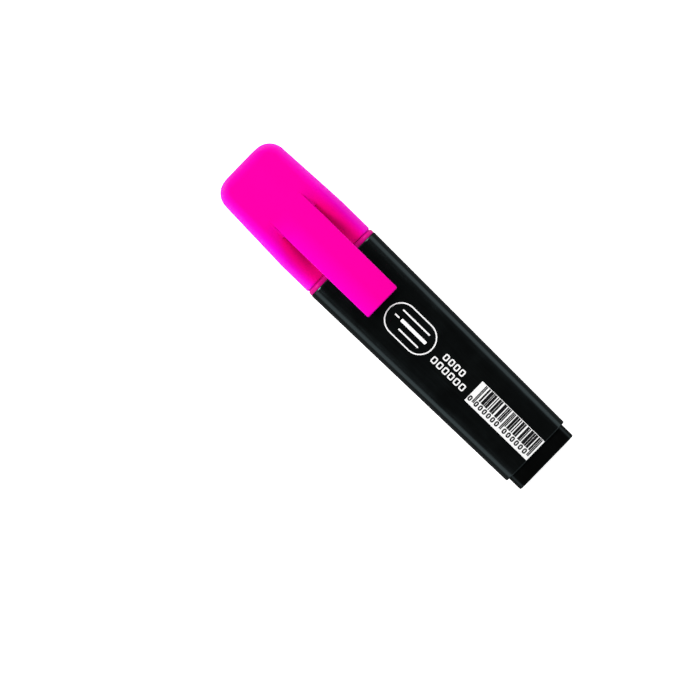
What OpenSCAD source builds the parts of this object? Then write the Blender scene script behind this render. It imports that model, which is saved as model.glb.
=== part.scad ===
// Flat highlighter pen, capped, lying on its back.
// Lengths are in millimetres. X runs from the tail to the closed end of the cap, Y runs across the
// broad face, and Z runs up out of the broad face that carries the pocket clip.
// The origin is under the middle of the pen, on the surface that the barrel rests on.

/* [Barrel] */
// Length of the barrel, without the nib holder's flange and the tail plug
barrel_length = 75.3; // [60:0.1:95]
// Width of the barrel at the nib holder
barrel_front_width = 25; // [24.5:0.25:27]
// Width of the barrel at the tail plug
barrel_tail_width = 23; // [22.5:0.25:24]
// Depth of the barrel at the nib holder
barrel_front_depth = 15; // [14.5:0.25:16]
// Depth of the barrel at the tail plug
barrel_tail_depth = 13.8; // [13.4:0.1:15]
// Thickness of the barrel's wall
barrel_wall = 1.5; // [1.2:0.1:1.8]
// Radius along the barrel's four long edges
barrel_edge = 4; // [2.5:0.25:5]

/* [Tail plug] */
// Length of the plug that stands out of the barrel
plug_length = 4.45; // [3:0.05:6]
// Step from the barrel's side in to the plug's side
plug_step = 0.95; // [0.6:0.05:1.1]
// Length of the plug's skirt inside the barrel
skirt_length = 6; // [4:0.5:8]

/* [Nib holder] */
// Thickness of the flange between the barrel and the cap
flange_length = 1.4; // [1.2:0.1:2.5]
// Length of the steep shoulder in front of the flange
shoulder_length = 5.9; // [5:0.1:7]
// Width of the shoulder at the flange
shoulder_width = 22.3; // [21.5:0.1:22.5]
// Depth of the shoulder at the flange
shoulder_depth = 12.3; // [11.5:0.1:12.5]
// Length of the neck from the shoulder to the collar
neck_length = 8.65; // [7:0.05:10]
// Width of the neck where it meets the shoulder
neck_width = 12.5; // [11:0.5:15]
// Length of the round collar
collar_length = 6.15; // [5:0.05:7]
// Diameter of the round collar
collar_diameter = 7.84; // [7.4:0.02:8.4]

/* [Nib] */
// Diameter of the nib's rod
nib_diameter = 6.1; // [5.4:0.1:6.2]
// Length of the nib that stands out of the collar
nib_reach = 5.2; // [4:0.1:5.6]
// Width of the nib at its writing edge
nib_edge = 5.4; // [4.8:0.1:5.4]
// Thickness of the writing edge
nib_edge_depth = 1.3; // [0.8:0.1:2]
// Slant of the writing edge
nib_slant = 6.5; // [0:0.5:10]

/* [Ink store] */
// Width of the fibre filler
filler_width = 16.5; // [15:0.5:17]
// Depth of the fibre filler
filler_depth = 9; // [8:0.25:9.25]
// Thickness of the film around the filler
film_wall = 0.25; // [0.2:0.05:0.3]
// Outside diameter of the breather tube
breather_diameter = 1.4; // [1.2:0.1:1.6]

/* [Cap] */
// Length of the cap from its mouth to its closed end
cap_length = 38.3; // [37:0.1:42]
// Width of the cap at its closed end, before the corners are rounded
cap_end_width = 22.3; // [21.5:0.1:23.5]
// Radius of the closed end's corners, seen from above
cap_corner = 5.2; // [3:0.1:6.5]
// Radius of the closed end's edges, seen from the side
cap_edge = 3; // [2:0.1:3.5]
// Height of the broad face that the clip is part of
cap_top = 18.6; // [18.2:0.1:19.5]
// Thickness of the cap's wall
cap_wall = 1.1; // [1:0.05:1.2]
// How far the cap is drawn off to clear the nib
cap_travel = 60; // [45:1:80]

/* [Pocket clip] */
// Width of the clip at its root
clip_root_width = 12; // [10:0.25:12.5]
// Width of the clip at its free end
clip_tip_width = 11.7; // [9.5:0.1:12]
// Thickness of the clip
clip_thickness = 1.9; // [1.6:0.05:2.1]
// How far the clip reaches past the cap's mouth
clip_overhang = 17.1; // [12:0.1:24]
// Clearance under the bump at the clip's free end
clip_gap = 0.3; // [0.2:0.05:0.6]

/* [Hidden] */

// Clearances and presses between the pieces
mouth_gap = 0.05;
running_clearance = 0.05;
press = 0.02;

// Stations along the length
overall = plug_length + barrel_length + flange_length + mouth_gap + cap_length;
tail_x = -overall / 2;
barrel_tail_x = tail_x + plug_length;
barrel_front_x = barrel_tail_x + barrel_length;
flange_x = barrel_front_x + flange_length;
neck_x = flange_x + shoulder_length;
collar_x = neck_x + neck_length;
collar_end_x = collar_x + collar_length;
nib_tip_x = collar_end_x + nib_reach;
mouth_x = flange_x + mouth_gap;
cap_end_x = mouth_x + cap_length;

// Heights and radii
axis_z = barrel_front_depth / 2;
filler_z = axis_z - 0.3;
collar_r = collar_diameter / 2;
nib_r = nib_diameter / 2;
inner_edge = max(0.6, barrel_edge - barrel_wall);

// Radius of the shoulder's edges at the flange, which the cap's mouth fits round
shoulder_edge = 1.4;

// The seat of the clip's root in the cap
root_r = clip_thickness / 2;
root_x = collar_x + 0.3;
root_z = cap_top - root_r;

// Steps in a quarter turn of a rounded corner, and in a rounded end
corner_steps = 8;
end_steps = 6;
$fn = 64;

// One section is [x, width, depth, corner radius, height of its back].
// It is a rounded rectangle that stands across the length.
function section_point(s, corner, turn) =
    let (
        y_side = (corner == 0 || corner == 3) ? 1 : -1,
        z_side = corner < 2 ? 1 : -1
    )
    [s[0],
     y_side * (s[1] / 2 - s[3]) + s[3] * cos(turn),
     s[4] + s[2] / 2 + z_side * (s[2] / 2 - s[3]) + s[3] * sin(turn)];

function section_ring(s) = [
    for (corner = [0 : 3])
        for (step = [0 : corner_steps])
            section_point(s, corner, 90 * (corner + step / corner_steps))
];

// A closed solid through a list of sections whose x increases.
module loft(sections) {
    n = 4 * (corner_steps + 1);
    last = len(sections) - 1;
    points = [for (s = sections) each section_ring(s)];
    sides = [
        for (i = [0 : last - 1])
            for (j = [0 : n - 1])
                let (k = (j + 1) % n)
                each [
                    [i * n + j, (i + 1) * n + k, i * n + k],
                    [i * n + j, (i + 1) * n + j, (i + 1) * n + k]
                ]
    ];
    tail = [for (j = [0 : n - 1]) j];
    head = [for (j = [n - 1 : -1 : 0]) last * n + j];
    polyhedron(points, concat([tail, head], sides));
}

// A round bar along X.
module rod(x0, x1, r, z = axis_z, y = 0) {
    translate([x0, y, z]) rotate([0, 90, 0]) cylinder(r = r, h = x1 - x0);
}

// A round bar along X whose radius changes.
module taper(x0, x1, r0, r1, z = axis_z) {
    translate([x0, 0, z]) rotate([0, 90, 0]) cylinder(r1 = r0, r2 = r1, h = x1 - x0);
}

// An outline drawn in X and Z, made solid across the width.
module across(width, y = 0) {
    translate([0, y + width / 2, 0]) rotate([90, 0, 0]) linear_extrude(width) children();
}

// A flat-sided bar along X with round sides.
module oval_bar(x0, x1, width, depth) {
    side_y = (width - depth) / 2;
    rod(x0, x1, depth / 2, filler_z, side_y);
    rod(x0, x1, depth / 2, filler_z, -side_y);
    translate([x0, -side_y, filler_z - depth / 2]) cube([x1 - x0, 2 * side_y, depth]);
}

// The barrel's outside at one place along its length, drawn in by a margin on every side.
function barrel_section(x, margin = 0, radius = barrel_edge) =
    let (
        t = (x - barrel_tail_x) / barrel_length,
        width = barrel_tail_width + (barrel_front_width - barrel_tail_width) * t,
        depth = barrel_tail_depth + (barrel_front_depth - barrel_tail_depth) * t
    )
    [x, width - 2 * margin, depth - 2 * margin, radius, margin];

/* Barrel: a drafted tube with ribs that hold the filler. */
module barrel() {
    lip = 0.25;
    color([0.03, 0.035, 0.04]) {
        difference() {
            loft([
                barrel_section(barrel_tail_x, lip, barrel_edge - lip),
                barrel_section(barrel_tail_x + lip),
                barrel_section(barrel_front_x - lip),
                barrel_section(barrel_front_x, lip, barrel_edge - lip)
            ]);
            loft([
                barrel_section(barrel_tail_x - 1, barrel_wall, inner_edge),
                barrel_section(barrel_front_x + 1, barrel_wall, inner_edge)
            ]);
        }
        barrel_ribs();
    }
}

// Four ribs along the inside of the barrel, each stopping at the film.
module barrel_ribs() {
    rib = 1;
    root = barrel_wall - 0.3;
    rib_x = barrel_tail_x + skirt_length + 2;
    rib_end_x = barrel_front_x - 10;
    difference() {
        intersection() {
            loft([barrel_section(rib_x, root, inner_edge), barrel_section(rib_end_x, root, inner_edge)]);
            for (side = [-1, 1])
                translate([rib_x - 1, side * 3.4 - rib / 2, 0])
                    cube([rib_end_x - rib_x + 2, rib, barrel_front_depth]);
        }
        oval_bar(rib_x - 1, rib_end_x + 1, filler_width + 2 * film_wall, filler_depth + 2 * film_wall);
    }
}

// The tail plug's outside at one place, with a margin all round.
function plug_section(x, margin = 0) =
    [x,
     barrel_tail_width - 2 * plug_step - 2 * margin,
     barrel_tail_depth - 2 * plug_step - 2 * margin,
     barrel_edge - 1.7 - margin,
     plug_step + margin];

/* Tail plug: closes the barrel's tail, and takes the cap's mouth when the cap is kept there. */
module tail_plug() {
    round_r = 0.4;
    skirt = barrel_wall - press;
    skirt_end_x = barrel_tail_x + skirt_length;
    color([0.03, 0.035, 0.04])
        difference() {
            union() {
                loft([
                    for (a = [90 : -90 / 3 : 0])
                        plug_section(tail_x + round_r * (1 - cos(90 - a)), round_r * (1 - cos(a))),
                    plug_section(barrel_tail_x)
                ]);
                loft([
                    plug_skirt(barrel_tail_x - 1, skirt),
                    plug_skirt(skirt_end_x - 0.4, skirt),
                    plug_skirt(skirt_end_x, skirt + 0.3)
                ]);
            }
            loft([plug_skirt(tail_x + 1.6, skirt + 1.2), plug_skirt(skirt_end_x + 1, skirt + 1.2)]);
        }
}

// The plug's skirt keeps the size of the barrel's bore at the tail.
function plug_skirt(x, margin) =
    [x, barrel_tail_width - 2 * margin, barrel_tail_depth - 2 * margin, inner_edge - 0.2, margin];

// The neck's corner radius, which tightens from the round collar to a crisp edge at the shoulder.
function neck_edge(x) = 0.95 + (collar_r - 0.98) * exp(-(collar_x - x) / 1.9);

// The neck and the shoulder share one flat facet, so their depth changes evenly along both.
function facet_depth(x) =
    collar_diameter + (shoulder_depth - collar_diameter) * (collar_x - x) / (collar_x - flange_x);

function neck_section(x) =
    let (
        t = (collar_x - x) / neck_length,
        depth = facet_depth(x)
    )
    [x, collar_diameter + (neck_width - collar_diameter) * t, depth, neck_edge(x), axis_z - depth / 2];

// The shoulder's base, grown by a clearance on every side for the cap's mouth.
function shoulder_section(x, clearance = 0) =
    let (depth = shoulder_depth + 2 * clearance)
    [x, shoulder_width + 2 * clearance, depth, shoulder_edge + clearance, axis_z - depth / 2];

/* Nib holder: flange, steep shoulder, faceted neck and round collar, with a spigot in the barrel. */
module nib_holder() {
    spigot_length = 8;
    spigot_x = barrel_front_x - spigot_length;
    chamfer = 0.5;
    color([1, 0.12, 0.8])
        difference() {
            union() {
                loft([
                    barrel_section(spigot_x, barrel_wall + 0.3, inner_edge),
                    barrel_section(spigot_x + 0.5, barrel_wall - press, inner_edge),
                    barrel_section(barrel_front_x + 0.2, barrel_wall - press, inner_edge)
                ]);
                loft([
                    barrel_section(barrel_front_x, 0.1, barrel_edge - 0.1),
                    barrel_section(flange_x - chamfer, 0.1, barrel_edge - 0.1),
                    barrel_section(flange_x, 0.1 + chamfer, barrel_edge - 0.1 - chamfer)
                ]);
                loft([
                    shoulder_section(flange_x - 0.2),
                    shoulder_section(flange_x),
                    neck_section(neck_x),
                    for (d = [5.4, 3.6, 2.4, 1.4, 0.6, 0]) neck_section(collar_x - d)
                ]);
                rod(collar_x - 0.5, collar_end_x - 0.4, collar_r);
                taper(collar_end_x - 0.4, collar_end_x, collar_r, collar_r - 0.4);
            }
            holder_chamber(spigot_x);
            rod(flange_x, collar_end_x + 1, nib_r - press);
        }
}

// The hollow behind the nib, which takes the front of the filler.
module holder_chamber(spigot_x) {
    wall = barrel_wall + 1.3;
    loft([
        barrel_section(spigot_x - 1, wall, inner_edge),
        barrel_section(flange_x - 1, wall, inner_edge),
        [neck_x - 1, neck_width - 2.4, facet_depth(neck_x) - 2.4, 1.5,
         axis_z - facet_depth(neck_x) / 2 + 1.2]
    ]);
}

/* Nib: a round rod of bonded fibre, cut to a slanted chisel and pushed into the filler. */
module nib() {
    rear_x = barrel_front_x - 14;
    bevel = nib_reach - 0.5;
    color([0.95, 0.02, 0.4])
        difference() {
            union() {
                rod(rear_x + 0.8, collar_end_x, nib_r);
                taper(rear_x, rear_x + 0.8, nib_r - 0.8, nib_r);
                taper(collar_end_x, nib_tip_x + 0.5, nib_r, nib_edge / 2 - 0.03);
            }
            for (side = [-1, 1])
                translate([nib_tip_x, 0, axis_z]) rotate([0, 0, nib_slant])
                    across(20)
                        polygon([
                            [-bevel, side * (nib_r + 0.1)],
                            [-0.3, side * nib_edge_depth / 2],
                            [nib_end(), side * (nib_edge_depth / 2 - 0.3)],
                            [nib_end(), 0],
                            [6, 0],
                            [6, side * 8],
                            [-bevel, side * 8]
                        ]);
        }
}

// Where the slanted writing edge stands, measured from the nib's longest corner.
function nib_end() = -sin(nib_slant) * nib_edge / 2;

/* Filler: the fibre rod that holds the ink, with a bore for the nib's rear end. */
module filler() {
    filler_end_x = barrel_front_x - 9;
    color([1, 0.35, 0.75])
        difference() {
            oval_bar(barrel_tail_x + skirt_length + 3, filler_end_x, filler_width, filler_depth);
            rod(barrel_front_x - 14.2, filler_end_x + 1, nib_r);
        }
}

/* Film: the clear sleeve around the filler. */
module film() {
    film_x = barrel_tail_x + skirt_length + 2.5;
    film_end_x = barrel_front_x - 9.2;
    color([0.85, 0.85, 0.9])
        difference() {
            oval_bar(film_x, film_end_x, filler_width + 2 * film_wall, filler_depth + 2 * film_wall);
            oval_bar(film_x - 1, film_end_x + 1, filler_width, filler_depth);
        }
}

/* Breather tube: lets air past the filler. */
module breather_tube() {
    tube_x = barrel_tail_x + skirt_length + 4;
    tube_end_x = barrel_front_x - 10;
    tube_r = breather_diameter / 2;
    tube_y = barrel_tail_width / 2 - barrel_wall - inner_edge - 0.6;
    color([0.9, 0.9, 0.9])
        difference() {
            rod(tube_x, tube_end_x, tube_r, barrel_wall + tube_r, tube_y);
            rod(tube_x - 1, tube_end_x + 1, tube_r - 0.35, barrel_wall + tube_r, tube_y);
        }
}

// The cap's width at one place, before its closed end is rounded.
function cap_width(x) =
    let (mouth_width = barrel_front_width - 0.35, break_x = mouth_x + 10.5)
    x < break_x
        ? mouth_width
        : mouth_width + (cap_end_width - mouth_width) * (x - break_x) / (cap_end_x - break_x);

// The height of the cap's shoulders, which run down beside the clip to meet the barrel.
function shoulder_top(x) =
    let (
        low = barrel_front_depth - 0.1,
        t = min(1, max(0, (x - root_x + 3) / 9.5))
    )
    low + 0.5 * min(1, (x - mouth_x) / 12) + (cap_top - low - 0.5) * t * t * (3 - 2 * t);

// The height of the cap's back, which draws in towards the closed end.
function cap_back(x) = 0.15 + 0.75 * (x - mouth_x) / cap_length;

// How far a rounded end has drawn in at a distance from the end.
function drawn_in(distance, radius) =
    distance >= radius ? 0 : radius - sqrt(radius * radius - pow(radius - distance, 2));

// The cap's outside at one place, drawn in by a margin on every side.
function cap_section(x, margin = 0) =
    let (
        distance = cap_end_x - margin - x,
        side_in = margin + drawn_in(distance, cap_corner - margin),
        edge_in = margin + drawn_in(distance, cap_edge - margin),
        width = cap_width(x) - 2 * side_in,
        depth = shoulder_top(x) - cap_back(x) - 2 * edge_in,
        radius = max(0.6, min(3.6, depth / 2 - 0.3) - margin)
    )
    [x, width, depth, radius, cap_back(x) + edge_in];

// Where sections are taken along the cap, closer together over the shoulders and the rounded end.
function cap_stations(start_x, margin) = concat(
    [start_x, mouth_x + 6, root_x - 3.5],
    [for (i = [0 : 8]) root_x - 2 + 9 * i / 8],
    [for (i = [0 : end_steps])
        cap_end_x - margin - (cap_corner - margin) * (1 - sin(90 * i / end_steps))]
);

/* Cap: a hollow shell. The root of the clip is seated in its broad face. */
module cap() {
    end_wall_x = cap_end_x - cap_wall - 0.5;
    seat_r = root_r + running_clearance;
    color([1, 0, 0.68])
        difference() {
            union() {
                difference() {
                    loft([for (x = cap_stations(mouth_x, 0)) cap_section(x)]);
                    loft(concat(
                        [shoulder_section(mouth_x - 1, 0.1), shoulder_section(mouth_x, 0.1)],
                        [for (x = cap_stations(mouth_x + 1, cap_wall)) cap_section(x, cap_wall)]
                    ));
                }
                clip_boss();
                rod(cap_end_x - 6.5, end_wall_x + 0.8, 4);
            }
            rod(cap_end_x - 7, end_wall_x - 1, 2.6);
            rod_across(root_x, root_z, seat_r, clip_root_width + 2);
        }
}

// A round bar across the width.
module rod_across(x, z, r, width) {
    translate([x, width / 2, z]) rotate([90, 0, 0]) cylinder(r = r, h = width);
}

// The thick part of the cap behind the clip's root.
module clip_boss() {
    boss_end_x = root_x + 8;
    across(clip_root_width)
        polygon([
            [root_x + 0.2, cap_top],
            [boss_end_x, cap_top],
            [boss_end_x, cap_top - 1.5],
            [root_x + 2, shoulder_top(root_x + 2) - 0.8],
            [root_x - 2, shoulder_top(root_x - 2) - 0.8],
            [root_x - 2, shoulder_top(root_x - 2) + 0.05],
            [root_x - 0.8, root_z - root_r - 0.3],
            [root_x + 0.2, root_z - root_r]
        ]);
}

/* Inner cap: a round cup that seals on the collar, pressed onto the boss in the cap's end. */
module inner_cap() {
    cup_r = collar_r + running_clearance;
    cup_x = collar_x + 0.5;
    floor_x = nib_tip_x + 3;
    end_x = cap_end_x - cap_edge;
    color([0.95, 0.55, 0.85])
        difference() {
            union() {
                rod(cup_x + 0.5, end_x, cup_r + 1.3);
                taper(cup_x, cup_x + 0.5, cup_r + 0.8, cup_r + 1.3);
            }
            rod(cup_x - 1, floor_x, cup_r);
            rod(floor_x + 1.2, end_x + 1, 4 - press);
        }
}

/* Pocket clip: a flat blade with a round root in the cap and a bump that grips a pocket's edge. */
module pocket_clip() {
    tip_x = mouth_x - clip_overhang;
    bump_x = tip_x + 3;
    bump_z = barrel_front_depth + clip_gap;
    corner = 0.5;
    color([1, 0, 0.7]) {
        translate([0, 0, cap_top - clip_thickness])
            linear_extrude(clip_thickness)
                union() {
                    polygon([
                        [root_x, -clip_root_width / 2],
                        [root_x, clip_root_width / 2],
                        [tip_x + corner, clip_tip_width / 2],
                        [tip_x, clip_tip_width / 2 - corner],
                        [tip_x, corner - clip_tip_width / 2],
                        [tip_x + corner, -clip_tip_width / 2]
                    ]);
                    for (side = [-1, 1])
                        translate([tip_x + corner, side * (clip_tip_width / 2 - corner)])
                            circle(corner);
                }
        rod_across(root_x, root_z, root_r, clip_root_width);
        intersection() {
            rod_across(bump_x, bump_z + 2.2, 2.2, clip_tip_width - 1.5);
            translate([tip_x, -clip_tip_width / 2, 0])
                cube([8, clip_tip_width, cap_top - clip_thickness / 2]);
        }
    }
}

barrel();
tail_plug();
nib_holder();
nib();
filler();
film();
breather_tube();
cap();
inner_cap();
pocket_clip();
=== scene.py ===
"""Flat highlighter with a pocket-clip cap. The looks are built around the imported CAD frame.

The pen lies on its back. X runs from the tail to the closed end of the cap, and Z up out of the broad face.
Shapes are worked out in millimetres from the CAD boxes and turned into metres when a mesh is made.
"""

import math

import bmesh
import bpy
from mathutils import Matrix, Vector


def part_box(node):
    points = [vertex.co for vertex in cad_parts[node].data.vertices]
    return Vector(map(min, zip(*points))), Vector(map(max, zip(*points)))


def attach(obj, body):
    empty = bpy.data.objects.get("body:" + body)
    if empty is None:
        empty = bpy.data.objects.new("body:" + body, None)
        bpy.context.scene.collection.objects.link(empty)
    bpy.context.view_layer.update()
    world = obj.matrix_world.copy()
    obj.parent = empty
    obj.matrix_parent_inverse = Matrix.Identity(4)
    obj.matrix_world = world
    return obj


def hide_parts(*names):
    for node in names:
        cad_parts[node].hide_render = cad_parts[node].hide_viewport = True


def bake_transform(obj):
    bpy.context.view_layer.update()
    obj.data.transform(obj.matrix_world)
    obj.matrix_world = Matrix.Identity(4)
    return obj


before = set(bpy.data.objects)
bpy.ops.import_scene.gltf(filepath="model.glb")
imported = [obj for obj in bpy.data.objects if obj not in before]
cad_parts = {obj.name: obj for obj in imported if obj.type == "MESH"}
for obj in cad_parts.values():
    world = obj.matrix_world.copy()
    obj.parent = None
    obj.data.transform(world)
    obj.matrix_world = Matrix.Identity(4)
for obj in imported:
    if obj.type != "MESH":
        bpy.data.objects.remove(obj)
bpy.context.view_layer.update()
MM = 0.001


def box_mm(node):
    """The low and the high corner of a CAD node's box, in millimetres."""
    low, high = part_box(node)
    return [c / MM for c in low], [c / MM for c in high]


BARREL_LOW, BARREL_HIGH = box_mm("barrel")
PLUG_LOW, PLUG_HIGH = box_mm("tail_plug")
_, HOLDER_HIGH = box_mm("nib_holder")
_, NIB_HIGH = box_mm("nib")
CAP_LOW, CAP_HIGH = box_mm("cap")
CLIP_LOW, CLIP_HIGH = box_mm("pocket_clip")

# Along the pen, from the tail to the cap's closed end
BARREL_TAIL = BARREL_LOW[0]
BARREL_FRONT = BARREL_HIGH[0]
FLANGE_LENGTH = 1.4
FLANGE = BARREL_FRONT + FLANGE_LENGTH
SHOULDER_LENGTH = 5.9
NECK_LENGTH = 8.65
NECK = FLANGE + SHOULDER_LENGTH
COLLAR = NECK + NECK_LENGTH
COLLAR_END = HOLDER_HIGH[0]
NIB_TIP = NIB_HIGH[0]
MOUTH = CAP_LOW[0]
CAP_END = CAP_HIGH[0]
CLIP_TIP = CLIP_LOW[0]
ROOT_X = COLLAR + 0.3
CAP_BREAK = MOUTH + 10.5
SCOOP_START = MOUTH + 1.0
SCOOP_END = ROOT_X + 5.4

# Barrel, across the pen
BARREL_FRONT_WIDTH = 25.0
BARREL_TAIL_WIDTH = 23.0
BARREL_FRONT_DEPTH = BARREL_HIGH[2] - BARREL_LOW[2]
BARREL_TAIL_DEPTH = 13.8
BARREL_EDGE = 4.0
PLUG_EDGE = BARREL_EDGE - 1.7
AXIS_Z = BARREL_FRONT_DEPTH / 2

# Nib holder and nib, across the pen
SHOULDER_WIDTH = 22.3
SHOULDER_DEPTH = 12.3
SHOULDER_EDGE = 1.4
NECK_WIDTH = 12.5
COLLAR_R = 3.92
NIB_R = 3.05

# Cap and clip, across the pen
CAP_TOP = CLIP_HIGH[2]
CAP_WALL = 1.1
CAP_MOUTH_WIDTH = BARREL_FRONT_WIDTH - 0.35
CAP_END_WIDTH = 22.3
CAP_END_ROUND = 5.2
CAP_FACE_ROUND = 3.0
CAP_CORNER = 3.6
CAP_LEAST_CORNER = 0.6
CAP_BACK_AT_MOUTH = 0.15
CAP_BACK_RISE = 0.75
CAP_EDGE_Y = 10.5
CLIP_THICKNESS = 1.9
CLIP_ROOT_HALF = 6.0
CLIP_TIP_HALF = 5.85
SLOT_GAP = 0.4
STRIP_SPREAD = 8.35
STRIP_FILLET_RISE = 1.4

# Points round a corner of a rounded rectangle, and round a circle
CORNER_STEPS = 14
CIRCLE_STEPS = 64

# Points of one mesh that are closer than this, in metres, are joined.
WELD = 0.000001


# ---------------------------------------------------------------- meshes


def clamp(t):
    return min(1.0, max(0.0, t))


def smooth_by_angle(mesh, degrees):
    """Shades a mesh smooth, and keeps its edges crisp where it turns by more than an angle."""
    mesh.polygons.foreach_set("use_smooth", [True] * len(mesh.polygons))
    sides = {}
    for polygon in mesh.polygons:
        for key in polygon.edge_keys:
            sides.setdefault(key, []).append(polygon.normal.copy())
    limit = math.cos(math.radians(degrees))
    for edge in mesh.edges:
        normals = sides.get(edge.key, [])
        edge.use_edge_sharp = len(normals) == 2 and normals[0].dot(normals[1]) < limit


def add_mesh(name, points, faces, material, degrees=32):
    """Makes an object from points in millimetres."""
    mesh = bpy.data.meshes.new(name)
    mesh.from_pydata([tuple(c * MM for c in p) for p in points], [], faces)
    mesh.validate()
    shell = bmesh.new()
    shell.from_mesh(mesh)
    bmesh.ops.remove_doubles(shell, verts=shell.verts, dist=WELD)
    bmesh.ops.recalc_face_normals(shell, faces=shell.faces)
    shell.to_mesh(mesh)
    shell.free()
    mesh.update()
    smooth_by_angle(mesh, degrees)
    piece = bpy.data.objects.new(name, mesh)
    bpy.context.collection.objects.link(piece)
    mesh.materials.append(material)
    return piece


def skin(rings, close_first=True, close_last=True, loop=False):
    """Points and faces of a skin over rings that have the same number of points."""
    n = len(rings[0])
    points = [p for ring in rings for p in ring]
    faces = []
    count = len(rings)
    for i in range(count if loop else count - 1):
        a, b = i * n, ((i + 1) % count) * n
        for j in range(n):
            k = (j + 1) % n
            faces.append((a + j, b + j, b + k, a + k))
    if not loop and close_first:
        faces.append(tuple(range(n)))
    if not loop and close_last:
        faces.append(tuple(range((count - 1) * n, count * n))[::-1])
    return points, faces


def rounded_ring(x, width, depth, radius, back):
    """A rounded rectangle across the pen, from the side at +Y round by the top. back is its lowest Z."""
    ring = []
    for corner in range(4):
        y_side = 1 if corner in (0, 3) else -1
        z_side = 1 if corner < 2 else -1
        for step in range(CORNER_STEPS + 1):
            turn = math.radians(90 * (corner + step / CORNER_STEPS))
            y = y_side * (width / 2 - radius) + radius * math.cos(turn)
            z = back + depth / 2 + z_side * (depth / 2 - radius) + radius * math.sin(turn)
            ring.append((x, y, z))
    return ring


def circle_ring(x, radius):
    """A circle round the pen's axis."""
    turns = [2 * math.pi * j / CIRCLE_STEPS for j in range(CIRCLE_STEPS)]
    return [(x, radius * math.cos(turn), AXIS_Z + radius * math.sin(turn)) for turn in turns]


def drawn_in(distance, radius):
    """How far a round of this radius has drawn in, at a distance from the end."""
    if distance >= radius:
        return 0.0
    return radius - math.sqrt(max(0.0, radius * radius - (radius - distance) ** 2))


def quarter(steps):
    """Angles of a quarter turn, in radians."""
    return [math.pi / 2 * i / steps for i in range(steps + 1)]


def lip(radius, steps):
    """Pairs of distance from an end face and inset, which round its edge off. They start at the face."""
    return [(radius * (1 - math.cos(a)), radius * (1 - math.sin(a))) for a in quarter(steps)]


# ---------------------------------------------------------------- materials


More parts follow.
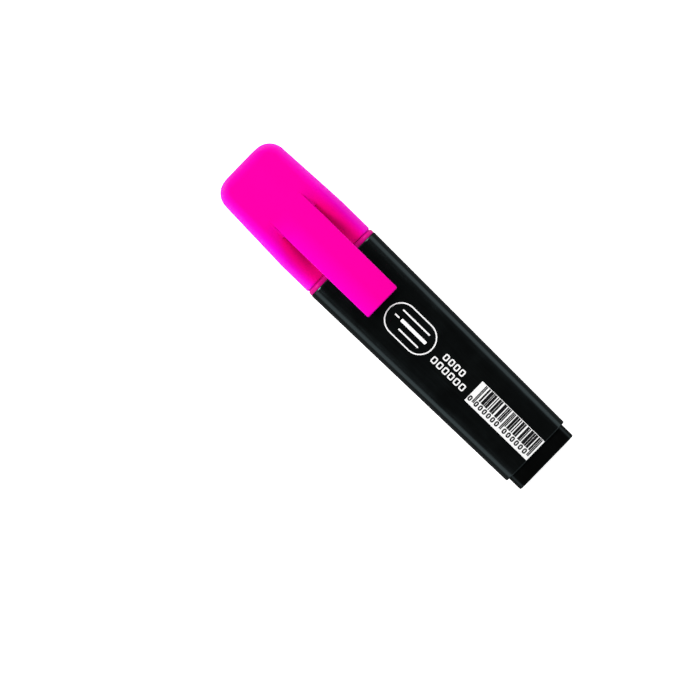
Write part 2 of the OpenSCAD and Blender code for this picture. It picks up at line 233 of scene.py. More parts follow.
class Nodes:
    """A short way to write a material's nodes. Coordinates are the object's own, in metres."""

    def __init__(self, name):
        self.material = bpy.data.materials.new(name)
        self.material.use_nodes = True
        self.tree = self.material.node_tree
        self.shader = self.tree.nodes["Principled BSDF"]
        self.coords = self.tree.nodes.new("ShaderNodeTexCoord").outputs["Object"]

    def set(self, **values):
        """Sets the shader's own sockets. An underscore in a name stands for a space."""
        for key, value in values.items():
            self.shader.inputs[key.replace("_", " ")].default_value = value

    def scaled(self, x, y, z):
        """Coordinates that stretch a texture along an axis where its scale is under 1."""
        mapping = self.tree.nodes.new("ShaderNodeMapping")
        mapping.inputs["Scale"].default_value = (x, y, z)
        self.tree.links.new(self.coords, mapping.inputs["Vector"])
        return mapping.outputs["Vector"]

    def axes(self):
        split = self.tree.nodes.new("ShaderNodeSeparateXYZ")
        self.tree.links.new(self.coords, split.inputs[0])
        return split.outputs

    def noise(self, scale, detail=3.0, vector=None, roughness=0.5):
        node = self.tree.nodes.new("ShaderNodeTexNoise")
        node.inputs["Scale"].default_value = scale
        node.inputs["Detail"].default_value = detail
        node.inputs["Roughness"].default_value = roughness
        self.tree.links.new(vector or self.coords, node.inputs["Vector"])
        return node.outputs["Fac"]

    def ramp(self, value, low, high, out_low=0.0, out_high=1.0):
        """Maps low to out_low and high to out_high, and stays level beyond them."""
        node = self.tree.nodes.new("ShaderNodeMapRange")
        node.inputs["From Min"].default_value = low
        node.inputs["From Max"].default_value = high
        node.inputs["To Min"].default_value = out_low
        node.inputs["To Max"].default_value = out_high
        self.tree.links.new(value, node.inputs["Value"])
        return node.outputs["Result"]

    def mix(self, factor, first, second):
        """A colour between two. Each is a tuple or another node's output."""
        node = self.tree.nodes.new("ShaderNodeMix")
        node.data_type = "RGBA"
        self.tree.links.new(factor, node.inputs["Factor"])
        colour = [s for s in node.inputs if s.type == "RGBA"]
        for socket, value in zip(colour, (first, second)):
            if isinstance(value, tuple):
                socket.default_value = (*value, 1.0)
            else:
                self.tree.links.new(value, socket)
        return [s for s in node.outputs if s.type == "RGBA"][0]

    def calculate(self, operation, *values):
        node = self.tree.nodes.new("ShaderNodeMath")
        node.operation = operation
        for socket, value in zip(node.inputs, values):
            if isinstance(value, float):
                socket.default_value = value
            else:
                self.tree.links.new(value, socket)
        return node.outputs[0]

    def multiply(self, a, b):
        return self.calculate("MULTIPLY", a, b)

    def add(self, a, b):
        return self.calculate("ADD", a, b)

    def painted_violet_sheen_share(self):
        """Painted sheen: how far the pink is painted violet, at both side edges, more at +Y, the side the
        key light comes from, and on the clip's +Y half.
        """
        x, y, z = self.axes()
        right = self.ramp(y, 0.0083, 0.0112, 0.0, 0.85)
        left = self.ramp(y, -0.0086, -0.0108, 0.0, 0.5)
        clip = self.multiply(self.ramp(y, 0.0, 0.0058, 0.0, 0.45), self.ramp(x, 0.042, 0.034))
        raised = self.multiply(clip, self.ramp(z, 0.0165, 0.0178))
        return self.add(self.add(right, left), raised)

    def painted_scoop_shade_share(self):
        """Painted shade: 1 in the scoops beside the clip, where a redder tone stands in for the shade there
        and for the light that facing pink walls bounce into each other.
        """
        x, y, z = self.axes()
        aside = self.calculate("ABSOLUTE", y)
        across = self.multiply(self.ramp(aside, 0.0105, 0.008), self.ramp(aside, 0.0056, 0.006))
        height = self.multiply(self.ramp(z, 0.0184, 0.0172), self.ramp(z, 0.01, 0.012))
        along = self.ramp(x, 0.05, 0.046)
        return self.multiply(self.multiply(across, height), along)

    def flange_share(self):
        """1 on the nib holder's flange, 0 on its shoulder."""
        x, _, _ = self.axes()
        return self.ramp(x, (FLANGE + 0.3) * MM, (FLANGE - 0.2) * MM)

    def colour(self, value):
        self.tree.links.new(value, self.shader.inputs["Base Color"])

    def rough(self, value):
        self.tree.links.new(value, self.shader.inputs["Roughness"])

    def bump(self, height, strength, distance):
        node = self.tree.nodes.new("ShaderNodeBump")
        node.inputs["Strength"].default_value = strength
        node.inputs["Distance"].default_value = distance
        self.tree.links.new(height, node.inputs["Height"])
        self.tree.links.new(node.outputs["Normal"], self.shader.inputs["Normal"])


def moulded_plastic(
    name, colour, deep, rough, specular, tint=(1.0, 1.0, 1.0), sheen=0.0, edge=None, scoop=None, flange_tone=None
):
    """Injection-moulded plastic: faint flow marks, handling marks in the gloss, and a fine grain.

    deep is the darker of the two flow colours, and tint colours the gloss. edge is the painted violet sheen
    that the cap turns to at its sides; the colour after it is the redder painted shade in the scoops beside
    the clip, and the last one is the darker tone of the nib holder's flange.
    """
    n = Nodes(name)
    flow = n.noise(70.0, 2.0, n.scaled(0.35, 1.0, 1.0))
    shade = n.mix(n.ramp(flow, 0.35, 0.65), deep, colour)
    # Painted sheen: the cap's pink is painted violet at its sides and on the clip's +Y half.
    if edge:
        shade = n.mix(n.painted_violet_sheen_share(), shade, edge)
    # Painted shade: a redder tone in the scoops beside the clip.
    if scoop:
        shade = n.mix(n.painted_scoop_shade_share(), shade, scoop)
    # The nib holder's flange is given a darker, redder tone.
    if flange_tone:
        shade = n.mix(n.flange_share(), shade, flange_tone)
    n.colour(shade)
    marks = n.noise(160.0, 4.0, n.scaled(0.25, 1.0, 1.0), 0.6)
    grain = n.noise(5200.0, 2.0)
    n.rough(
        n.add(n.ramp(marks, 0.3, 0.7, rough - 0.05, rough + 0.05), n.ramp(grain, 0.3, 0.7, -0.02, 0.02))
    )
    n.bump(n.add(n.multiply(grain, 0.6), n.multiply(n.noise(420.0, 2.0), 0.8)), 0.12, 0.00002)
    n.set(IOR=1.49, Specular_IOR_Level=specular, Specular_Tint=(*tint, 1.0))
    if sheen:
        n.set(Sheen_Weight=sheen, Sheen_Roughness=0.4, Sheen_Tint=(0.7, 0.0, 1.0, 1.0))
    return n.material


def satin_black(name, specular):
    """Black plastic with a satin face and very fine scratches along the length."""
    n = Nodes(name)
    flow = n.noise(90.0, 3.0, n.scaled(0.3, 1.0, 1.0))
    n.colour(n.mix(n.ramp(flow, 0.35, 0.65), (0.001, 0.0009, 0.0008), (0.0013, 0.0012, 0.0011)))
    scratches = n.noise(2600.0, 3.0, n.scaled(0.03, 1.0, 1.0), 0.7)
    marks = n.noise(180.0, 4.0)
    n.rough(n.add(n.ramp(marks, 0.3, 0.7, 0.15, 0.21), n.ramp(scratches, 0.35, 0.65, -0.02, 0.03)))
    grain = n.noise(4200.0, 2.0)
    n.bump(n.add(n.multiply(grain, 0.5), n.multiply(scratches, 0.5)), 0.1, 0.00002)
    n.set(IOR=1.49, Specular_IOR_Level=specular, Specular_Tint=(0.7, 0.95, 1.0, 1.0))
    return n.material


def fibre(name, colour, deep, scale):
    """Bonded fibre: strands along the rod, soaked with ink."""
    n = Nodes(name)
    strands = n.noise(scale, 3.0, n.scaled(0.12, 1.0, 1.0), 0.7)
    blotch = n.noise(260.0, 2.0)
    shade = n.multiply(n.add(strands, blotch), 0.5)
    n.colour(n.mix(n.ramp(shade, 0.38, 0.62), deep, colour))
    n.rough(n.ramp(blotch, 0.3, 0.7, 0.62, 0.85))
    n.bump(strands, 0.5, 0.00008)
    n.set(Specular_IOR_Level=0.3, Sheen_Weight=0.15, Sheen_Roughness=0.5)
    return n.material


def screen_ink(name, pinhole, colour, covered, specular):
    """Screen print: a thin film with small pinholes and an uneven gloss. covered is where the holes end."""
    n = Nodes(name)
    speckle = n.noise(6000.0, 2.0)
    n.colour(n.mix(n.ramp(speckle, 0.25, covered), pinhole, colour))
    n.rough(n.ramp(n.noise(900.0), 0.3, 0.7, 0.4, 0.55))
    n.bump(speckle, 0.2, 0.00001)
    n.set(Specular_IOR_Level=specular)
    return n.material


def clear_film():
    """The crinkled plastic film round the filler."""
    n = Nodes("clear_film")
    crinkle = n.noise(500.0, 3.0, n.scaled(0.2, 1.0, 1.0))
    n.colour(n.mix(n.ramp(crinkle, 0.3, 0.7), (0.78, 0.74, 0.8), (0.88, 0.84, 0.9)))
    n.rough(n.ramp(crinkle, 0.3, 0.7, 0.1, 0.25))
    n.bump(crinkle, 0.3, 0.00005)
    return n.material


# The cap's colour holds painted light: a violet sheen at its sides and on the clip's +Y half, and a redder
# shade in the scoops beside the clip.
cap_plastic = moulded_plastic(
    "cap_plastic", colour=(0.82, 0.0, 0.315), deep=(0.805, 0.0, 0.305), rough=0.42, specular=0.3,
    tint=(1.0, 0.0, 1.0), sheen=0.8, edge=(0.82, 0.0, 0.66), scoop=(0.82, 0.0, 0.2),
)
holder_plastic = moulded_plastic(
    "holder_plastic", colour=(0.85, 0.003, 0.42), deep=(0.83, 0.003, 0.4), rough=0.34, specular=0.35,
    tint=(1.0, 0.3, 1.0), sheen=0.3, flange_tone=(0.57, 0.001, 0.2),
)
natural_plastic = moulded_plastic(
    "natural_plastic", colour=(0.82, 0.8, 0.76), deep=(0.78, 0.76, 0.72), rough=0.4, specular=0.5
)
barrel_plastic = satin_black("barrel_plastic", specular=1.0)
plug_plastic = satin_black("plug_plastic", specular=0.45)
nib_fibre = fibre("nib_fibre", colour=(0.85, 0.001, 0.11), deep=(0.7, 0.0, 0.06), scale=2600.0)
filler_fibre = fibre("filler_fibre", colour=(0.9, 0.08, 0.45), deep=(0.75, 0.05, 0.35), scale=1800.0)
film_material = clear_film()
white_ink = screen_ink(
    "print_ink", pinhole=(0.62, 0.62, 0.62), colour=(0.9, 0.9, 0.9), covered=0.5, specular=0.4
)
black_ink = screen_ink(
    "black_ink", pinhole=(0.012, 0.012, 0.013), colour=(0.003, 0.003, 0.004), covered=0.6, specular=0.1
)


# ---------------------------------------------------------------- barrel


def barrel_size(x):
    """The barrel's width and depth, which both draft in towards the tail."""
    t = (x - BARREL_TAIL) / (BARREL_FRONT - BARREL_TAIL)
    width = BARREL_TAIL_WIDTH + (BARREL_FRONT_WIDTH - BARREL_TAIL_WIDTH) * t
    depth = BARREL_TAIL_DEPTH + (BARREL_FRONT_DEPTH - BARREL_TAIL_DEPTH) * t
    return width, depth


def barrel_ring(x, inset=0.0):
    """The barrel's outline across the pen, or one that lies inside it by inset."""
    width, depth = barrel_size(x)
    return rounded_ring(x, width - 2 * inset, depth - 2 * inset, BARREL_EDGE - inset, inset)


def build_barrel():
    """An open tube. The rings two lips in from each end keep the lips' shading off the flats."""
    edge = 0.3
    wall = 1.5
    spans = 12
    length = BARREL_FRONT - BARREL_TAIL - 2 * edge
    rings = [barrel_ring(BARREL_TAIL + along, inset) for along, inset in lip(edge, 4)]
    rings.append(barrel_ring(BARREL_TAIL + 2 * edge))
    rings += [barrel_ring(BARREL_TAIL + edge + length * i / spans) for i in range(1, spans)]
    rings.append(barrel_ring(BARREL_FRONT - 2 * edge))
    rings += [barrel_ring(BARREL_FRONT - along, inset) for along, inset in reversed(lip(edge, 4))]
    rings.append(barrel_ring(BARREL_FRONT, wall))
    rings.append(barrel_ring(BARREL_TAIL, wall))
    points, faces = skin(rings, loop=True)
    piece = add_mesh("barrel_shell", points, faces, barrel_plastic)
    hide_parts("barrel")
    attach(piece, "pen")


def build_plug():
    """The block that closes the tail. Its front end narrows inside the barrel."""
    width, depth = PLUG_HIGH[1] - PLUG_LOW[1], PLUG_HIGH[2] - PLUG_LOW[2]
    back = PLUG_LOW[2]
    tail = PLUG_LOW[0]
    end_round = 0.4
    buried, narrowing = 1.0, 1.2

    def ring(x, inset, edge):
        return rounded_ring(x, width - 2 * inset, depth - 2 * inset, edge, back + inset)

    rings = [ring(tail + along, inset, PLUG_EDGE - inset) for along, inset in lip(end_round, 6)]
    rings.append(ring(BARREL_TAIL, 0.0, PLUG_EDGE))
    rings.append(ring(BARREL_TAIL + buried, narrowing, PLUG_EDGE - 1.0))
    points, faces = skin(rings)
    piece = add_mesh("plug_shell", points, faces, plug_plastic)
    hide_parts("tail_plug")
    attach(piece, "pen")


# ---------------------------------------------------------------- nib holder and nib


def neck_edge(x):
    """The neck's corner radius, which grows into the collar's own radius over the last few millimetres."""
    sharpest = 0.95
    roundest = COLLAR_R - 0.03
    growth_length = 1.9
    return sharpest + (roundest - sharpest) * math.exp(-(COLLAR - x) / growth_length)


def facet_depth(x):
    """The depth between the two flat facets, which run straight from the collar to the flange."""
    return 2 * COLLAR_R + (SHOULDER_DEPTH - 2 * COLLAR_R) * (COLLAR - x) / (COLLAR - FLANGE)


def holder_ring(x):
    """The neck and the shoulder share one flat facet on each broad side."""
    depth = facet_depth(x)
    if x >= NECK:
        width = 2 * COLLAR_R + (NECK_WIDTH - 2 * COLLAR_R) * (COLLAR - x) / NECK_LENGTH
        radius = neck_edge(x)
    else:
        t = (NECK - x) / SHOULDER_LENGTH
        width = NECK_WIDTH + (SHOULDER_WIDTH - NECK_WIDTH) * t
        radius = neck_edge(NECK) + (SHOULDER_EDGE - neck_edge(NECK)) * t
    return rounded_ring(x, width, depth, min(radius, width / 2, depth / 2), AXIS_Z - depth / 2)


def collar_ring(x, radius):
    """A circle with as many points as the other rings of the nib holder."""
    return rounded_ring(x, 2 * radius, 2 * radius, radius, AXIS_Z - radius)


def build_holder():
    """The flange on the barrel's front, then the shoulder, the neck, and the round collar with its bore."""
    seat_inset = 1.6
    step_in = 0.1
    soft = 0.12
    chamfer = 0.5
    collar_round = 0.4
    bore = NIB_R + 0.1
    rings = [barrel_ring(BARREL_FRONT, seat_inset)]
    rings += [barrel_ring(BARREL_FRONT + along, step_in + inset) for along, inset in lip(soft, 3)]
    for x, inset in (
        (FLANGE - chamfer - soft, 0.0),
        (FLANGE - chamfer + 0.05, 0.05),
        (FLANGE - soft, chamfer - 0.1),
        (FLANGE, chamfer),
    ):
        rings.append(barrel_ring(x, step_in + inset))
    for beyond_flange in (0.0, 0.5, 1.5, 3.0, 4.5, 5.4, 5.75, 5.9):
        rings.append(holder_ring(FLANGE + beyond_flange))
    for before_collar in (8.3, 7.0, 5.4, 4.2, 3.2, 2.4, 1.7, 1.1, 0.6, 0.25, 0.0):
        rings.append(holder_ring(COLLAR - before_collar))
    rings.append(collar_ring(COLLAR + 0.3, COLLAR_R))
    rings.append(collar_ring(COLLAR_END - 0.5, COLLAR_R))
    for along, inset in reversed(lip(collar_round, 4)):
        rings.append(collar_ring(COLLAR_END - along, COLLAR_R - inset))
    rings.append(collar_ring(COLLAR_END, bore))
    rings.append(collar_ring(COLLAR_END - 1.5, bore))
    points, faces = skin(rings)
    piece = add_mesh("holder_shell", points, faces, holder_plastic, 24)
    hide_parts("nib_holder")
    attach(piece, "pen")


def soft_min(value, limit):
    """The lower of two numbers, with a soft turn where they meet."""
    blend = 0.18
    gap = value - limit
    return limit + 0.5 * (gap - math.sqrt(gap * gap + blend * blend)) if gap > -4 else value


def build_nib():
    """A round rod whose end is cut to a slanted chisel, with soft fibre edges."""
    count = 96
    reach = NIB_TIP - COLLAR_END
    slant = math.tan(math.radians(6.5))
    bevel_length = reach - 0.5
    half_edge = 2.67
    tip_radius = half_edge + 0.05
    tip_half, root_half = 0.65, NIB_R + 0.1
    tip_round = 0.25
    spans = 26
    stations = [-4.0, -1.0, 0.0] + [reach * i / spans for i in range(1, 24)]
    stations += [reach - d for d in (0.45, 0.3, 0.18, 0.09, 0.03, 0.0)]
    rings = []
    for s in stations:
        radius = NIB_R + (tip_radius - NIB_R) * clamp(s / reach)
        end_in = drawn_in(reach - s, tip_round)
        half = tip_half + (root_half - tip_half) * (reach - s) / bevel_length
        half = max(0.05, half - end_in)
        lean = slant * max(0.0, s) / reach
        ring = []
        for j in range(count):
            turn = 2 * math.pi * j / count
            y = (radius - end_in * 0.8) * math.cos(turn)
            z = radius * math.sin(turn)
            z = math.copysign(max(0.0, soft_min(abs(z), half)), z)
            ring.append((COLLAR_END + s - lean * (half_edge - y), y, AXIS_Z + z))
        rings.append(ring)
    points, faces = skin(rings)
    piece = add_mesh("nib_tip", points, faces, nib_fibre, 50)
    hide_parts("nib")
    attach(piece, "pen")


# ---------------------------------------------------------------- cap


def cap_width(x):
    """Even from the mouth to the break, and narrower from there to the closed end."""
    if x < CAP_BREAK:
        return CAP_MOUTH_WIDTH
    return CAP_MOUTH_WIDTH + (CAP_END_WIDTH - CAP_MOUTH_WIDTH) * (x - CAP_BREAK) / (CAP_END - CAP_BREAK)


def ease(t):
    """A smooth step from 0 to 1."""
    t = clamp(t)
    return t * t * (3 - 2 * t)


def level_off(t):
    """t from 0 up, rounded off into 1."""
    blend = 0.08
    if t >= 1 + blend:
        return 1.0
    return max(0.0, t) - max(0.0, t - 1 + blend) ** 2 / (4 * blend)


def shoulder_top(x, y=CAP_EDGE_Y):
    """The height of the cap's broad face outside the clip. A scoop beside the clip widens to the mouth."""
    steepness, swell = 1.8, 0.1
    dip_depth, dip_length = 0.7, 6.0
    climb, climb_length = 0.5, 12.0
    low = BARREL_FRONT_DEPTH - 0.1
    outward = clamp((abs(y) - CLIP_ROOT_HALF) / (CAP_EDGE_Y - CLIP_ROOT_HALF))
    t = level_off((x - SCOOP_START) / (SCOOP_END - SCOOP_START))
    beside = t ** steepness
    rise = beside + (ease(t) - beside) * outward + swell * math.sin(math.pi * t) * outward
    dip = dip_depth * ease((x - MOUTH) / dip_length) * (1 - outward) ** 2
    floor = low + climb * min(1.0, (x - MOUTH) / climb_length) - dip
    return floor + (CAP_TOP - floor) * rise


def cap_back(x):
    """The lowest Z of the cap, which rises a little towards the closed end."""
    return CAP_BACK_AT_MOUTH + CAP_BACK_RISE * (x - MOUTH) / (CAP_END - MOUTH)


# Places across the cap's broad face, from the corner round to the middle: Y, height above the shoulder, and
# height against the clip's plane. The heights count where the clip's raised strip stands out.
STRIP = [
    (8.0, 0.0, 0.0),
    (7.3, 0.0, 0.0),
    (6.85, 0.02, 0.0),
    (6.5, 0.14, 0.0),
    (6.25, 0.38, 0.0),
    (6.09, 0.75, 0.0),
    (6.0, 1.3, 0.0),
    (6.0, 0.0, -0.35),
    (5.96, 0.0, -0.2),
    (5.86, 0.0, -0.07),
    (5.7, 0.0, 0.0),
    (5.0, 0.0, 0.0),
    (3.0, 0.0, 0.0),
    (1.0, 0.0, 0.0),
]


def cap_ring(x, margin, strip):
    """The cap's outline across the pen. strip is how far the clip's raised strip stands out, from 0 to 1."""
    distance = CAP_END - margin - x
    side_in = margin + drawn_in(distance, CAP_END_ROUND - margin)
    edge_in = margin + drawn_in(distance, CAP_FACE_ROUND - margin)
    width = cap_width(x) - 2 * side_in
    back = cap_back(x) + edge_in
    top = shoulder_top(x) - edge_in
    depth = top - back
    radius = max(CAP_LEAST_CORNER, min(CAP_CORNER, depth / 2 - 0.3) - margin)
    flat = width / 2 - radius
    squeeze = min(1.0, flat / STRIP_SPREAD)
    half_ring = []
    for y, up, down in STRIP:
        place = shoulder_top(x, y) - edge_in
        rise = (CAP_TOP - edge_in - place) * strip
        if down < 0 or y <= CLIP_ROOT_HALF:
            z = max(place, place + rise + down) if rise > 0 else place
            if strip == 0 and y <= CLIP_ROOT_HALF:
                # The slot under the free part of the clip
                z = min(z, CAP_TOP - CLIP_THICKNESS - SLOT_GAP - edge_in)
        else:
            z = min(place + up * min(1.0, rise / STRIP_FILLET_RISE), place + rise)
        half_ring.append((y * squeeze, z))
    ring = []
    for corner in range(4):
        y_side = 1 if corner in (0, 3) else -1
        z_side = 1 if corner < 2 else -1
        for step in range(CORNER_STEPS + 1):
            turn = math.radians(90 * (corner + step / CORNER_STEPS))
            y = y_side * flat + radius * math.cos(turn)
            z = back + depth / 2 + z_side * (depth / 2 - radius) + radius * math.sin(turn)
            if corner < 2:
                z += (shoulder_top(x, y) - shoulder_top(x)) * max(0.0, math.sin(turn)) ** 2
            ring.append((x, y, z))
        if corner == 0:
            ring.extend((x, y, z) for y, z in half_ring)
            ring.extend((x, -y, z) for y, z in reversed(half_ring))
    return ring


def build_cap():
    """The cap's shell, from the rim over the closed end, and back down the inside to the rim."""
    rim = 0.6
    tongue = ROOT_X + 0.6
    fine_end = ROOT_X + 7.6
    fine_step = 0.25
    end_start = CAP_END - CAP_END_ROUND
    rings = [cap_ring(MOUTH + along, inset, 0.0) for along, inset in lip(rim, 5)]
    for beyond_mouth in (1.0, 2.0, 3.0):
        rings.append(cap_ring(MOUTH + beyond_mouth, 0.0, 0.0))
    for i in range(1, 25):
        rings.append(cap_ring(MOUTH + 3.0 + (tongue - MOUTH - 3.3) * i / 24, 0.0, 0.0))
    # Two rings at one place make the step from the slot up to the raised strip.
    rings.append(cap_ring(tongue, 0.0, 0.0))
    rings.append(cap_ring(tongue, 0.0, 1.0))
    x = tongue + fine_step
    while x < fine_end:
        rings.append(cap_ring(x, 0.0, 1.0))
        x += fine_step
    for i in range(1, 6):
        rings.append(cap_ring(fine_end + (end_start - fine_end) * i / 6, 0.0, 1.0))
    for a in quarter(18):
        rings.append(cap_ring(CAP_END - CAP_END_ROUND * (1 - math.sin(a)), 0.0, 1.0))
    points, faces = skin(rings, close_first=False)
    offset = len(points)
    inner_round = CAP_END_ROUND - CAP_WALL
    inner = []
    for a in reversed(quarter(12)):
        inner.append(cap_ring(CAP_END - CAP_WALL - inner_round * (1 - math.sin(a)), CAP_WALL, 0.0))
    for i in range(1, 20):
        inner.append(cap_ring(end_start - (end_start - MOUTH - 1.0) * i / 19, CAP_WALL, 0.0))
    inner.append(cap_ring(MOUTH + 0.2, CAP_WALL, 0.0))
    inner.append(cap_ring(MOUTH, CAP_WALL - 0.2, 0.0))
    inner_points, inner_faces = skin(inner, close_last=False)
    points += inner_points
    faces += [tuple(i + offset for i in face) for face in inner_faces]
    n = len(rings[0])
    last = offset + (len(inner) - 1) * n
    for j in range(n):
        k = (j + 1) % n
        faces.append((last + j, j, k, last + k))
    piece = add_mesh("cap_shell", points, faces, cap_plastic, 38)
    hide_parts("cap")
    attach(piece, "cap")


def build_inner_boss():
    """The boss in the cap's closed end that the inner cap is pressed onto."""
    start, end = CAP_END - 6.5, CAP_END - 0.8
    profile = ((start + 0.6, 2.6), (start, 2.7), (start, 3.85), (start + 0.15, 4.0), (end, 4.0))
    points, faces = skin([circle_ring(x, radius) for x, radius in profile])
    piece = add_mesh("cap_boss", points, faces, cap_plastic)
    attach(piece, "cap")


# Across the clip's underside: Y, and the share of the bump's height there.
BUMP_ACROSS = (
    (-5.3, 0.0), (-5.15, 0.3), (-5.0, 0.75), (-4.7, 1.0), (-2.0, 1.0), (0.0, 1.0),
    (2.0, 1.0), (4.7, 1.0), (5.0, 0.75), (5.15, 0.3), (5.3, 0.0),
)


def build_clip():
    """The clip's blade. Its root is buried in the cap's raised strip, where the real clip flexes."""
    shy = 0.012
    edge = 0.3
    tip_round = 0.5
    root = ROOT_X + 2.2
    under = CAP_TOP - CLIP_THICKNESS
    bump_x = CLIP_TIP + 3.0
    bump_round = 2.2
    bump_height = under - CLIP_LOW[2]
    bump_end = CLIP_TIP + 5.6
    stations = [CLIP_TIP + along for along, _ in lip(tip_round, 8)]
    stations += [CLIP_TIP + tip_round + 0.2 * i for i in range(1, 24)]
    stations += [bump_end + (root - bump_end) * i / 40 for i in range(1, 41)]
    rings = []
    for x in stations:
        t = (x - CLIP_TIP) / (ROOT_X - CLIP_TIP)
        half = CLIP_TIP_HALF + (CLIP_ROOT_HALF - CLIP_TIP_HALF) * min(1.0, t) - shy
        half -= drawn_in(x - CLIP_TIP, tip_round)
        edge_in = drawn_in(x - CLIP_TIP, edge)
        top = CAP_TOP - shy - edge_in
        low = under + shy + edge_in
        radius = max(0.04, edge - 0.02 - edge_in)
        reach = bump_round * bump_round - (x - bump_x) ** 2
        bump = max(0.0, math.sqrt(reach) - (bump_round - bump_height)) if reach > 0 else 0.0
        ring = []
        for corner in range(4):
            y_side = 1 if corner in (0, 3) else -1
            middle_z = top - radius if corner < 2 else low + radius
            for step in range(7):
                turn = math.radians(90 * (corner + step / 6))
                y = y_side * (half - radius) + radius * math.cos(turn)
                ring.append((x, y, middle_z + radius * math.sin(turn)))
            if corner == 0:
                ring.extend((x, half * f, top) for f in (0.8, 0.4, 0.0, -0.4, -0.8))
            if corner == 2:
                squeeze = min(1.0, half / CLIP_TIP_HALF)
                ring.extend((x, y * squeeze, low - bump * share) for y, share in BUMP_ACROSS)
        rings.append(ring)
    points, faces = skin(rings)
    piece = add_mesh("clip_blade", points, faces, cap_plastic, 38)
    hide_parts("pocket_clip")
    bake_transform(piece)


# ---------------------------------------------------------------- print on the barrel

INK_SINK = 0.03
WHITE_LIFT = 0.018
BLACK_LIFT = 0.032


def face_z(x):
    """The height of the barrel's broad face."""
    return barrel_size(x)[1]


def plate(outlines, x0, y0, lift):
    """Thin closed prisms on the barrel's face. Each outline is (outer, inner or None) in X and Y."""
    points, faces = [], []
    for outer, inner in outlines:
        base = len(points)
        n = len(outer)
        for loop in [outer] + ([inner] if inner else []):
            for dz in (-INK_SINK, lift):
                points.extend((x0 + x, y0 + y, face_z(x0 + x) + dz) for x, y in loop)
        outer_low, outer_top, inner_low, inner_top = (base + i * n for i in range(4))
        for j in range(n):
            k = (j + 1) % n
            faces.append((outer_low + j, outer_low + k, outer_top + k, outer_top + j))
            if inner:
                faces.append((outer_top + j, outer_top + k, inner_top + k, inner_top + j))
                faces.append((inner_top + j, inner_top + k, inner_low + k, inner_low + j))
                faces.append((inner_low + j, inner_low + k, outer_low + k, outer_low + j))
        if not inner:
            faces.append(tuple(range(outer_top, outer_top + n)))
            faces.append(tuple(range(outer_low, outer_low + n))[::-1])
    return points, faces


def bar(x0, y0, x1, y1, r=0.0):
    """A bar's outline, anticlockwise, with corners rounded by r."""
    if r <= 0:
        return [(x0, y0), (x1, y0), (x1, y1), (x0, y1)]
    out = []
    corners = ((x1 - r, y0 + r, -90), (x1 - r, y1 - r, 0), (x0 + r, y1 - r, 90), (x0 + r, y0 + r, 180))
    for cx, cy, start in corners:
        for step in range(13):
            a = math.radians(start + 90 * step / 12)
            out.append((cx + r * math.cos(a), cy + r * math.sin(a)))
    return out


def add_print(name, outlines, x0, y0, material, lift):
    """Prints outlines on the barrel. Flat shading keeps a plate's thin sides from tinting its face."""
    points, faces = plate(outlines, x0, y0, lift)
    piece = add_mesh(name, points, faces, material)
    piece.data.polygons.foreach_set("use_smooth", [False] * len(piece.data.polygons))
    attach(piece, "pen")


def hollow(x0, y0, x1, y1, r, line):
    """A rounded outline of even line width, as an outer and an inner loop."""
    return bar(x0, y0, x1, y1, r), bar(x0 + line, y0 + line, x1 - line, y1 - line, r - line)


# Bar and gap widths of a made-up pattern, in modules. It encodes nothing.
BAR_WIDTHS = (
    1, 1, 1, 3, 2, 2, 4, 1, 1, 1, 3, 2, 1, 2, 3, 1, 2, 3, 4, 2, 1, 1, 2, 1, 1, 3, 1, 1, 1, 1, 1,
    2, 3, 1, 2, 2, 1, 2, 3, 1, 2, 3, 3, 1, 1, 2, 4, 1, 2, 1, 3, 2, 2, 1, 1, 1, 1,
)
CENTRE_GUARDS = (26, 28)


def print_badge():
    """A plain badge: a ring round three strokes, like marked lines of text."""
    outlines = [
        hollow(-8.45, -4.9, 8.45, 4.9, 4.85, 0.38),
        (bar(-5.2, -2.6, 5.2, -2.15, 0.2), None),
        (bar(-6.0, -0.5, 3.6, 0.5, 0.3), None),
        (bar(4.3, -0.22, 6.0, 0.22, 0.2), None),
        (bar(-5.2, 2.15, 2.4, 2.6, 0.2), None),
    ]
    add_print("print_badge", outlines, -6.25, -0.2, white_ink, WHITE_LIFT)


def print_rows():
    """Two rows of plain outlines that stand in for the words."""
    rows = []
    for first, count, pitch, y0, y1 in ((-18.3, 4, 2.05, -2.4, -0.4), (-16.3, 6, 2.17, 0.45, 2.5)):
        for i in range(count):
            right = first - pitch * i
            rows.append(hollow(right - pitch + 0.5, y0, right, y1, 0.5, 0.4))
    add_print("print_rows", rows, 0.0, 0.0, white_ink, WHITE_LIFT)


def print_code():
    """Bars on a white panel, with a row of noughts beside them."""
    start, end = -30.9, -55.1
    add_print("print_panel", [(bar(end, -3.75, start, 3.58), None)], 0.0, 0.0, white_ink, WHITE_LIFT)
    first = start - 1.75
    module = (first - end - 0.55) / sum(BAR_WIDTHS)
    gain = 0.065
    bar_low, bar_high, guard_high = -3.6, 1.05, 2.5
    code = []
    x = first
    for i, width in enumerate(BAR_WIDTHS):
        step = width * module
        if i % 2 == 0:
            guard = i < 3 or i > len(BAR_WIDTHS) - 4 or i in CENTRE_GUARDS
            code.append((bar(x - step - gain, bar_low, x + gain, guard_high if guard else bar_high), None))
        x -= step
    nought_width, pitch = 1.15, 1.58
    near_group = first - 4 * module
    far_group = near_group - (first - end) / 2 + 0.35
    places = [group - pitch * i for group in (near_group, far_group) for i in range(6)]
    for right in places + [start - 0.2]:
        code.append(hollow(right - nought_width, 1.25, right, 2.9, 0.55, 0.42))
    add_print("print_bars", code, 0.0, 0.0, black_ink, BLACK_LIFT)


# ---------------------------------------------------------------- carried-over nodes


def dress(node, material):
    """Gives a CAD mesh that is kept its material."""
    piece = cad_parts[node]
    piece.data.materials.clear()
    piece.data.materials.append(material)


# ---------------------------------------------------------------- room


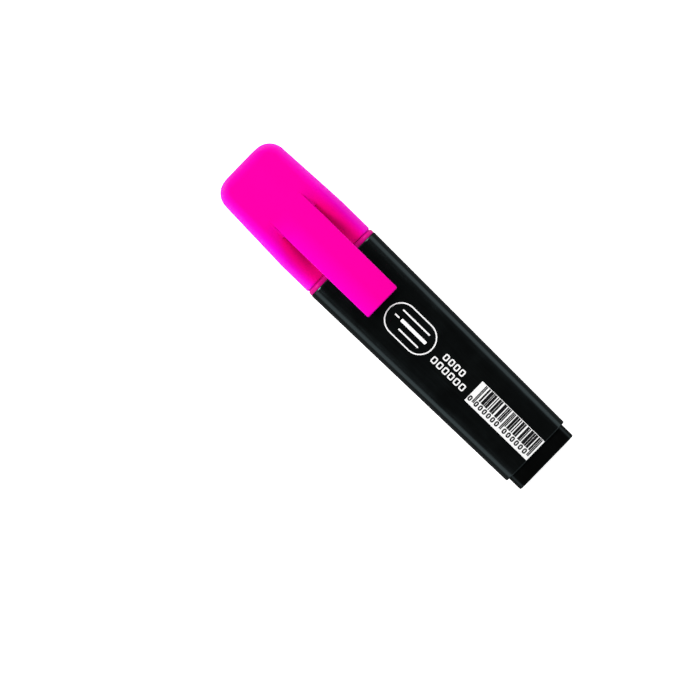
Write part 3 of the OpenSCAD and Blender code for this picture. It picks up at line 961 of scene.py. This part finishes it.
def build_floor():
    """A pale sheet just under the pen, which glows a little so that it comes out white."""
    half = 8.0
    low = -0.00005
    mesh = bpy.data.meshes.new("floor")
    corners = [(-half, -half, low), (half, -half, low), (half, half, low), (-half, half, low)]
    mesh.from_pydata(corners, [], [(0, 1, 2, 3)])
    floor = bpy.data.objects.new("floor", mesh)
    bpy.context.collection.objects.link(floor)
    n = Nodes("floor_paper")
    cloud = n.noise(3.0)
    n.colour(n.mix(n.ramp(cloud, 0.3, 0.7), (0.86, 0.86, 0.86), (0.9, 0.9, 0.9)))
    n.set(Roughness=0.9, Specular_IOR_Level=0.1, Emission_Color=(1.0, 1.0, 1.0, 1.0), Emission_Strength=0.9)
    mesh.materials.append(n.material)
    floor.visible_glossy = False


def softbox(name, azimuth, elevation, distance, size, watts):
    """A soft light that faces the pen. Azimuth is measured from +X towards +Y, and sizes are in metres."""
    light = bpy.data.lights.new(name, "AREA")
    light.shape = "RECTANGLE"
    light.size = light.size_y = size
    light.energy = watts
    lamp = bpy.data.objects.new(name, light)
    a, e = math.radians(azimuth), math.radians(elevation)
    place = Vector((math.cos(a) * math.cos(e), math.sin(a) * math.cos(e), math.sin(e))) * distance
    lamp.location = place
    lamp.rotation_euler = place.to_track_quat("Z", "Y").to_euler()
    bpy.context.collection.objects.link(lamp)


def build_light():
    """Two soft lights from the cap's end, inside a ring of white wall that fades to a dark ceiling."""
    softbox("key_light", azimuth=45, elevation=45, distance=0.8, size=0.4, watts=5.95)
    softbox("fill_light", azimuth=-45, elevation=45, distance=0.8, size=0.4, watts=3.8)
    world = bpy.data.worlds.new("studio")
    bpy.context.scene.world = world
    world.use_nodes = True
    tree = world.node_tree
    coords = tree.nodes.new("ShaderNodeTexCoord")
    split = tree.nodes.new("ShaderNodeSeparateXYZ")
    tree.links.new(coords.outputs["Generated"], split.inputs[0])
    height = tree.nodes.new("ShaderNodeMapRange")
    height.inputs["From Min"].default_value = -1.0
    tree.links.new(split.outputs["Z"], height.inputs["Value"])
    # Brightness by height: 0 straight down, 0.5 at the horizon, 1 straight up
    ramp = tree.nodes.new("ShaderNodeValToRGB")
    stops = ramp.color_ramp.elements
    stops[0].position, stops[0].color = 0.0, (0.1, 0.1, 0.1, 1.0)
    stops[1].position, stops[1].color = 1.0, (0.02, 0.02, 0.02, 1.0)
    for place, level in ((0.5, 0.1), (0.52, 0.62), (0.75, 0.62), (0.81, 0.05)):
        stops.new(place).color = (level, level, level, 1.0)
    tree.links.new(height.outputs["Result"], ramp.inputs["Fac"])
    tree.links.new(ramp.outputs["Color"], tree.nodes["Background"].inputs["Color"])


def build_camera():
    """Straight down on to the broad face, turned so that the cap points up and to the left."""
    picture_pixels, pixels_per_mm = 700, 3.57
    level = 9.0 * MM
    right_mm, up_mm = 12.28, 10.16
    turn = math.radians(-135.77)
    camera = bpy.data.cameras.new("camera")
    camera.lens = 300.0
    camera.sensor_width = 36.0
    camera.sensor_fit = "HORIZONTAL"
    camera.clip_start = 0.01
    camera.clip_end = 20.0
    field = picture_pixels / pixels_per_mm * MM
    right = Vector((math.cos(turn), math.sin(turn), 0.0))
    up = Vector((-math.sin(turn), math.cos(turn), 0.0))
    place = (right * right_mm + up * up_mm) * -MM
    eye = bpy.data.objects.new("camera", camera)
    eye.location = (place.x, place.y, level + field * camera.lens / camera.sensor_width)
    eye.rotation_euler = (0.0, 0.0, turn)
    bpy.context.collection.objects.link(eye)
    bpy.context.scene.camera = eye


build_camera()
build_barrel()
build_plug()
build_holder()
build_nib()
build_cap()
build_inner_boss()
build_clip()
print_badge()
print_rows()
print_code()
dress("filler", filler_fibre)
dress("film", film_material)
dress("breather_tube", natural_plastic)
dress("inner_cap", natural_plastic)
build_floor()
build_light()
bpy.context.scene.view_settings.view_transform = "Standard"
